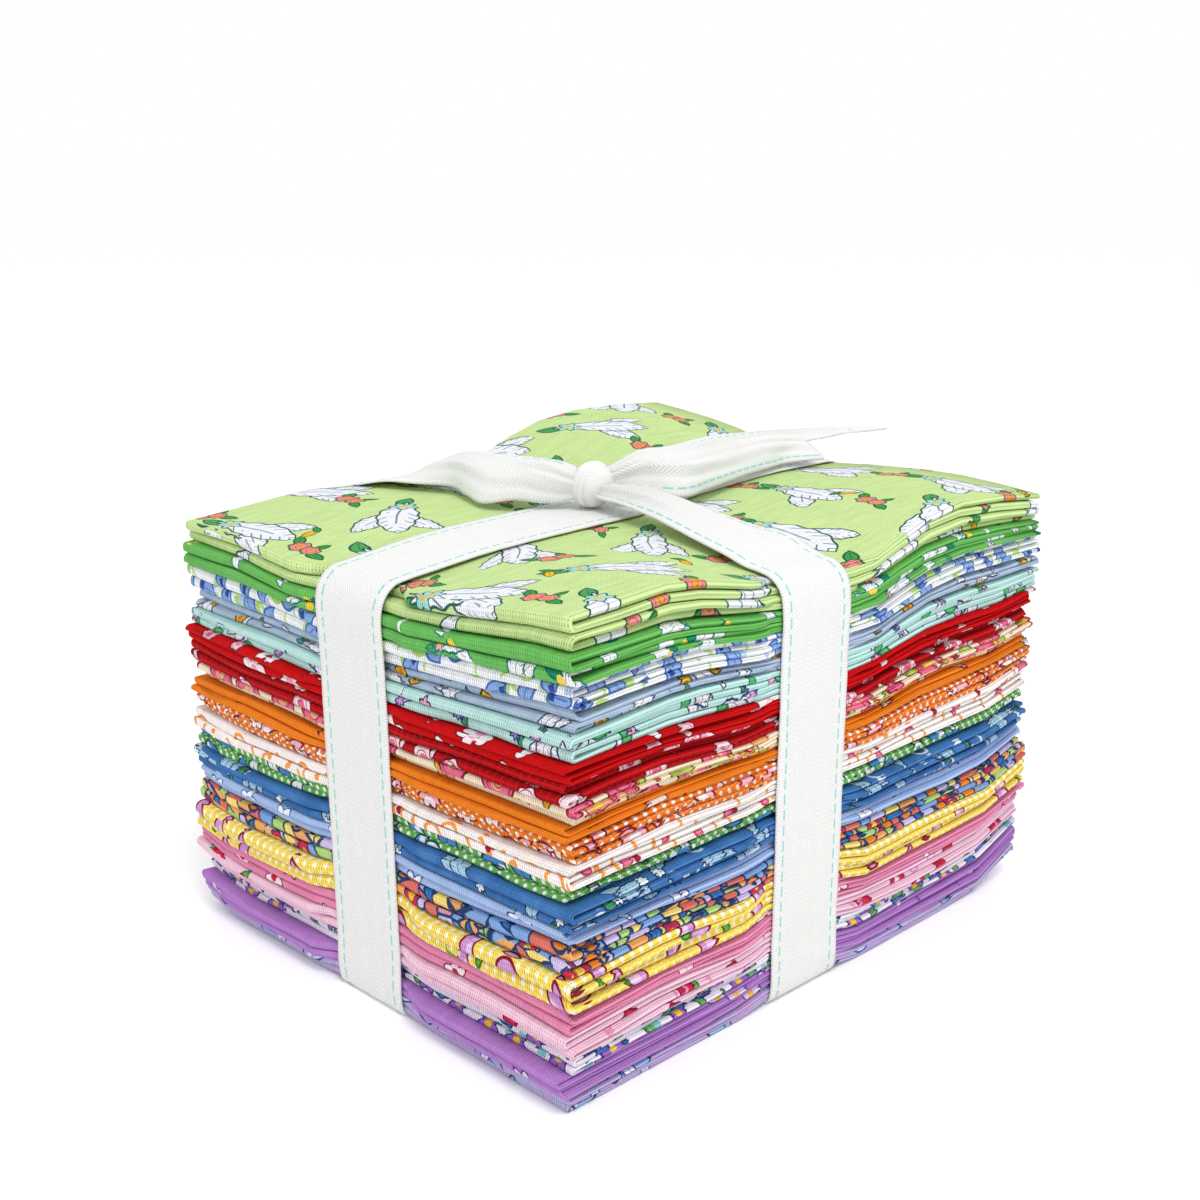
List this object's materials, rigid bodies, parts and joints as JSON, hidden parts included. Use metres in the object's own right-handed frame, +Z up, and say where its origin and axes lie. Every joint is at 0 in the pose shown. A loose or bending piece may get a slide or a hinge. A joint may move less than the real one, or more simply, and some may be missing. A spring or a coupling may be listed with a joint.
{
  "type": "fat quarter bundle",
  "caption": "Stack of folded printed cotton fat quarters tied both ways with herringbone tape, knotted on top with one notched free end.",
  "frame": {"origin": "centre of the base, on the surface that the bundle rests on", "axes": "+Z up; +Y along the bundle's long side, away from the face with the closed folds; +X towards the face that shows the layer loops"},
  "size_m": [0.1186, 0.143, 0.1014],
  "materials": {
    "cotton_01_light_green": "plain-weave printed quilting cotton, matte",
    "cotton_02_mid_green": "plain-weave printed quilting cotton, matte",
    "cotton_03_blue_bell": "plain-weave printed quilting cotton, matte",
    "cotton_04_grey_blue": "plain-weave printed quilting cotton, matte",
    "cotton_05_aqua": "plain-weave printed quilting cotton, matte",
    "cotton_06_red": "plain-weave printed quilting cotton, matte",
    "cotton_07_red_grid": "plain-weave printed quilting cotton, matte",
    "cotton_08_cream_rose": "plain-weave printed quilting cotton, matte",
    "cotton_09_orange": "plain-weave printed quilting cotton, matte",
    "cotton_10_orange_dot": "plain-weave printed quilting cotton, matte",
    "cotton_11_white_orange": "plain-weave printed quilting cotton, matte",
    "cotton_12_green_dot": "plain-weave printed quilting cotton, matte",
    "cotton_13_denim_blue": "plain-weave printed quilting cotton, matte",
    "cotton_14_periwinkle": "plain-weave printed quilting cotton, matte",
    "cotton_15_patchwork": "plain-weave printed quilting cotton, matte",
    "cotton_16_yellow_dot": "plain-weave printed quilting cotton, matte",
    "cotton_17_pink": "plain-weave printed quilting cotton, matte",
    "cotton_18_pale_pink": "plain-weave printed quilting cotton, matte",
    "cotton_19_violet_white": "plain-weave printed quilting cotton, matte",
    "cotton_20_purple": "plain-weave printed quilting cotton, matte",
    "cotton_21_lavender": "plain-weave printed quilting cotton, matte",
    "cotton_tape": "herringbone cotton tape, matte, with a dashed line printed along each edge"
  },
  "bodies": {
    "root": {"fabric_01_light_green": "cotton_01_light_green", "fabric_02_mid_green": "cotton_02_mid_green", "fabric_03_blue_bell": "cotton_03_blue_bell", "fabric_04_grey_blue": "cotton_04_grey_blue", "fabric_05_aqua": "cotton_05_aqua", "fabric_06_red": "cotton_06_red", "fabric_07_red_grid": "cotton_07_red_grid", "fabric_08_cream_rose": "cotton_08_cream_rose", "fabric_09_orange": "cotton_09_orange", "fabric_10_orange_dot": "cotton_10_orange_dot", "fabric_11_white_orange": "cotton_11_white_orange", "fabric_12_green_dot": "cotton_12_green_dot", "fabric_13_denim_blue": "cotton_13_denim_blue", "fabric_14_periwinkle": "cotton_14_periwinkle", "fabric_15_patchwork": "cotton_15_patchwork", "fabric_16_yellow_dot": "cotton_16_yellow_dot", "fabric_17_pink": "cotton_17_pink", "fabric_18_pale_pink": "cotton_18_pale_pink", "fabric_19_violet_white": "cotton_19_violet_white", "fabric_20_purple": "cotton_20_purple", "fabric_21_lavender": "cotton_21_lavender", "ribbon_long": "cotton_tape", "ribbon_cross": "cotton_tape", "ribbon_knot": "cotton_tape", "ribbon_tail": "cotton_tape"}
  },
  "joints": []
}
